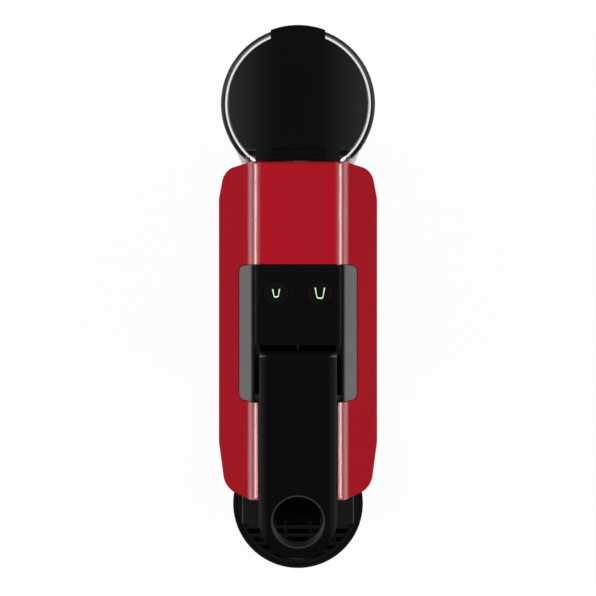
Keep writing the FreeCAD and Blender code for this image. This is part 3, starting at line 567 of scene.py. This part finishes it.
def ring_stack(name: str, radius: float, step: float, count: int, bead: float, centre: Vector,
               finish: Finish, rise: float = 0.0) -> bpy.types.Mesh:
    """Concentric or stacked beads, made by repeating one hoop.

    Args:
        name: the tree's name.
        radius: the first hoop's radius.
        step: how much each hoop's radius grows.
        count: the number of hoops.
        bead: the hoop's own thickness radius.
        centre: the hoops' centre.
        finish: their material.
        rise: how far each hoop lies above the one before.

    Returns:
        The finished mesh.
    """
    tree = Tree(name, {"Radius": radius, "Step": step, "Bead": bead, "Rise": rise})
    hoops = []
    for i in range(count):
        size = tree.sum("Radius", "ADD", tree.sum("Step", "MULTIPLY", float(i)))
        circle = tree.hoop(96, size)
        rise_by = tree.sum("Rise", "MULTIPLY", float(i))
        lift = tree.add("ShaderNodeCombineXYZ", {}, {"Z": rise_by}).outputs[0]
        moved = tree.add("GeometryNodeTransform", {}, {"Geometry": circle, "Translation": lift}).outputs[0]
        hoops.append(moved)
    joined = tree.add("GeometryNodeJoinGeometry")
    for hoop in hoops:
        tree.group.links.new(hoop, joined.inputs[0])
    section = tree.hoop(8, "Bead")
    tube = tree.add("GeometryNodeCurveToMesh", {}, {"Curve": joined.outputs[0], "Profile Curve": section})
    mesh = tree.mesh(tube.outputs[0], finish)
    mesh.transform(Matrix.Translation(centre))
    return mesh


def coil_spring(name: str, low: Vector, height: float, radius: float, wire: float,
                turns: float) -> bpy.types.Mesh:
    """A compression spring standing on low, wound as a swept spiral.

    Args:
        name: the tree's name.
        low: the middle of the spring's foot.
        height: its length.
        radius: the coil's mean radius.
        wire: the wire's own radius.
        turns: the number of turns.

    Returns:
        The finished mesh.
    """
    tree = Tree(name, {"Height": height, "Radius": radius, "Wire": wire, "Turns": turns})
    spiral = tree.add("GeometryNodeCurveSpiral", {}, {
        "Resolution": 20, "Rotations": "Turns", "Start Radius": "Radius", "End Radius": "Radius",
        "Height": "Height"}).outputs[0]
    section = tree.hoop(8, "Wire")
    sweep = {"Curve": spiral, "Profile Curve": section, "Fill Caps": True}
    tube = tree.add("GeometryNodeCurveToMesh", {}, sweep)
    mesh = tree.mesh(tube.outputs[0], Finish.STEEL)
    mesh.transform(Matrix.Translation(low))
    return mesh


def plate_from(outline: list[tuple[float, float]], low: float, high: float, name: str) -> bpy.types.Mesh:
    """A flat plate with that outline in X and Y.

    Args:
        outline: its corners in order.
        low: the underside's height.
        high: the top's height.
        name: the mesh's name.

    Returns:
        The finished mesh.
    """
    work = bmesh.new()
    bottom = [work.verts.new((x, y, low)) for x, y in outline]
    base = work.faces.new(bottom)
    top = bmesh.ops.extrude_face_region(work, geom=[base])["geom"]
    for item in top:
        if isinstance(item, bmesh.types.BMVert):
            item.co.z = high
    bmesh.ops.recalc_face_normals(work, faces=work.faces)
    mesh = bpy.data.meshes.new(name)
    work.to_mesh(mesh)
    work.free()
    return mesh


@dataclass
class Buttons:
    """The cup pictograms that are let into the two button caps."""

    stroke: float = 0.62 * MM
    rise: float = 0.10 * MM
    sizes: dict[str, tuple[float, float]] = field(
        default_factory=lambda: {"small": (3.9 * MM, 4.1 * MM), "large": (5.1 * MM, 5.4 * MM)})

    def cup_outline(self, width: float, height: float) -> list[tuple[float, float]]:
        """An open-topped cup seen from the side, as one stroke with a rounded foot."""
        foot, bend, steps = width * 0.33, width * 0.22, 5

        def side(inset: float) -> list[tuple[float, float]]:
            """The right half of the cup from rim to foot, pulled in by inset."""
            rim_x, foot_x = width / 2 - inset, foot - inset * 0.4
            low = -height / 2 + inset
            path = [(rim_x, height / 2)]
            for i in range(steps + 1):
                turn = math.pi / 2 * i / steps
                path.append((foot_x - bend + bend * math.cos(turn), low + bend - bend * math.sin(turn)))
            return path

        outer, inner = side(0.0), side(self.stroke)
        left = [(-x, y) for x, y in reversed(outer)]
        inner_left = [(-x, y) for x, y in inner]
        return outer + left + inner_left + list(reversed(inner))

    def build(self) -> None:
        """Makes both pictograms on their caps."""
        for kind, (width, height) in self.sizes.items():
            low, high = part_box(f"{kind}_cup_button")
            centre = (Vector(low) + Vector(high)) / 2
            outline = [(centre.x + x, centre.y + y) for x, y in self.cup_outline(width, height)]
            mesh = plate_from(outline, high[2] - self.rise, high[2] + self.rise, f"{kind}_cup_mark")
            piece_from(mesh, f"{kind}_cup_mark", Finish.LIGHT, f"{kind}_button")


@dataclass
class Tray:
    """Fine beads round the drip tray's rim."""

    inset: float = 1.6 * MM
    beads: int = 2
    bead: float = 0.22 * MM
    step: float = 0.9 * MM

    def build(self) -> None:
        """Lays the beads on the rim."""
        low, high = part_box("drip_tray")
        radius = (high[0] - low[0]) / 2
        centre = Vector((0, low[1] + radius, high[2]))
        start = radius - self.inset
        mesh = ring_stack("rim_beads", start, self.step, self.beads, self.bead, centre, Finish.TRAY)
        piece_from(mesh, "tray_rim_beads", Finish.TRAY, "drip_module")


@dataclass
class Tank:
    """Level ticks moulded on the tank's wall."""

    ticks: int = 5
    span: tuple[float, float] = (0.045, 0.165)

    def build(self) -> None:
        """Raises short ribs up the rear of the tank."""
        low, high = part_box("water_tank")
        rear = high[1] - 1.0 * MM
        work = bmesh.new()
        for i in range(self.ticks):
            z = self.span[0] + (self.span[1] - self.span[0]) * i / (self.ticks - 1)
            half = (6.0 if i % 2 == 0 else 4.0) * MM
            shape = Matrix.Diagonal((half, 1.2 * MM, 0.8 * MM, 1))
            place = Matrix.Translation((0, rear - 0.25 * MM, z)) @ shape
            bmesh.ops.create_cube(work, size=1.0, matrix=place)
        bmesh.ops.bevel(work, geom=work.edges[:], offset=0.15 * MM, segments=2, affect="EDGES")
        mesh = bpy.data.meshes.new("level_ticks")
        work.to_mesh(mesh)
        work.free()
        piece_from(mesh, "level_ticks", Finish.TANK, "tank")


@dataclass
class Springs:
    """Wound springs in place of the plain sleeves, and the winding of the pump coil."""

    wire: float = 0.45 * MM
    layers: int = 16
    strand: float = 0.4 * MM
    pitch: float = 2.1 * MM

    def build(self) -> None:
        """Winds each spring between its sleeve's ends."""
        for node, body, turns in (("valve_spring", "tank", 4.0), ("pump_spring", "machine", 6.0)):
            low, high = map(Vector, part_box(node))
            centre = (low + high) / 2
            start = Vector((centre.x, centre.y, low.z + self.wire))
            radius = (high.x - low.x) / 2 - self.wire - 0.1 * MM
            height = high.z - low.z - 2 * self.wire
            mesh = coil_spring(f"{node}_tree", start, height, radius, self.wire, turns)
            wound = piece_from(mesh, f"{node}_wound", Finish.STEEL, body)
            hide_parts(node)
        low, high = map(Vector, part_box("pump_coil"))
        centre = Vector(((low.x + high.x) / 2, (low.y + high.y) / 2, low.z + 2 * MM))
        radius = (high.x - low.x) / 2
        mesh = ring_stack("coil_turns", radius, 0.0, self.layers, self.strand, centre, Finish.COIL,
                          rise=self.pitch)
        piece_from(mesh, "pump_coil_winding", Finish.COIL, "machine")


@dataclass
class Studio:
    """Pale floor, soft side lights, white surroundings and the camera overhead."""

    eye: tuple[float, float, float] = (0.0, 0.0205, 0.66)
    lens: float = 57.1
    side_reach: float = 0.85
    side_power: float = 11.0
    top_power: float = 1.5
    fill: float = 0.12
    floor_glow: float = 0.95
    floor_gloss: float = 0.12
    side_size: tuple[float, float] = (1.4, 0.3)
    end_size: tuple[float, float] = (1.0, 0.4)
    end_reach: float = 1.3

    def floor(self) -> None:
        """A wide pale floor that still takes the machine's shadow."""
        work = bmesh.new()
        bmesh.ops.create_grid(work, x_segments=1, y_segments=1, size=4.0)
        mesh = bpy.data.meshes.new("floor")
        work.to_mesh(mesh)
        work.free()
        graph = Graph("floor")
        graph.finish(Base_Color=(0.92, 0.92, 0.92), Roughness=0.85)
        path = graph.add("ShaderNodeLightPath")
        ray = {name: Scalar(graph, path.outputs[f"Is {name} Ray"])
               for name in ("Camera", "Glossy", "Transmission")}
        seen = (ray["Camera"] + ray["Transmission"]) * self.floor_glow + ray["Glossy"] * self.floor_gloss
        glow = graph.add("ShaderNodeEmission", {}, {"Color": (1, 1, 1), "Strength": 1.0})
        mix = graph.add("ShaderNodeMixShader", {}, {0: seen, 1: graph.surface.outputs[0], 2: glow.outputs[0]})
        output = graph.tree.nodes["Material Output"]
        graph.feed(output, "Surface", mix.outputs[0])
        mesh.materials.append(graph.material)
        plane = bpy.data.objects.new("floor", mesh)
        bpy.context.collection.objects.link(plane)

    def lamp(self, name: str, place: Vector, size: tuple[float, float], power: float) -> None:
        """One rectangular soft light aimed at the machine."""
        data = bpy.data.lights.new(name, "AREA")
        data.shape = "RECTANGLE"
        data.size, data.size_y = size
        data.energy = power
        lamp = bpy.data.objects.new(name, data)
        lamp.location = place
        aim = Vector((0, 0, 0.12)) - place
        lamp.rotation_euler = aim.to_track_quat("-Z", "Y").to_euler()
        bpy.context.collection.objects.link(lamp)

    def world(self) -> None:
        """White to the camera, and a quieter fill to everything else."""
        world = bpy.data.worlds.new("studio")
        world.use_nodes = True
        bpy.context.scene.world = world
        tree = world.node_tree
        path = tree.nodes.new("ShaderNodeLightPath")
        back = tree.nodes["Background"]
        back.inputs["Color"].default_value = (1, 1, 1, 1)
        strength = tree.nodes.new("ShaderNodeMapRange")
        strength.inputs["To Min"].default_value = self.fill
        strength.inputs["To Max"].default_value = 1.0
        tree.links.new(path.outputs["Is Camera Ray"], strength.inputs["Value"])
        tree.links.new(strength.outputs[0], back.inputs["Strength"])

    def camera(self) -> None:
        """The camera straight above the machine."""
        data = bpy.data.cameras.new("overhead")
        data.sensor_width = 36.0
        data.lens = self.lens
        camera = bpy.data.objects.new("overhead", data)
        camera.location = self.eye
        bpy.context.collection.objects.link(camera)
        bpy.context.scene.camera = camera

    def build(self) -> None:
        """Sets the whole studio."""
        bpy.context.scene.view_settings.view_transform = "Standard"
        self.camera()
        self.floor()
        self.world()
        for side, name in ((-1, "left"), (1, "right")):
            place = Vector((side * self.side_reach, 0.0, 1.0))
            self.lamp(f"{name}_softbox", place, self.side_size, self.side_power)
        for side, name in ((1, "rear"), (-1, "front")):
            place = Vector((0, side * self.end_reach, 0.9))
            self.lamp(f"{name}_softbox", place, self.end_size, self.top_power)


def main() -> None:
    """Builds the studio and every sub-assembly in order."""
    logging.basicConfig(level=logging.INFO)
    Studio().build()
    PAINT.dress_nodes()
    for assembly in (Buttons(), Tray(), Tank(), Springs()):
        assembly.build()


if __name__ == "__main__":
    main()
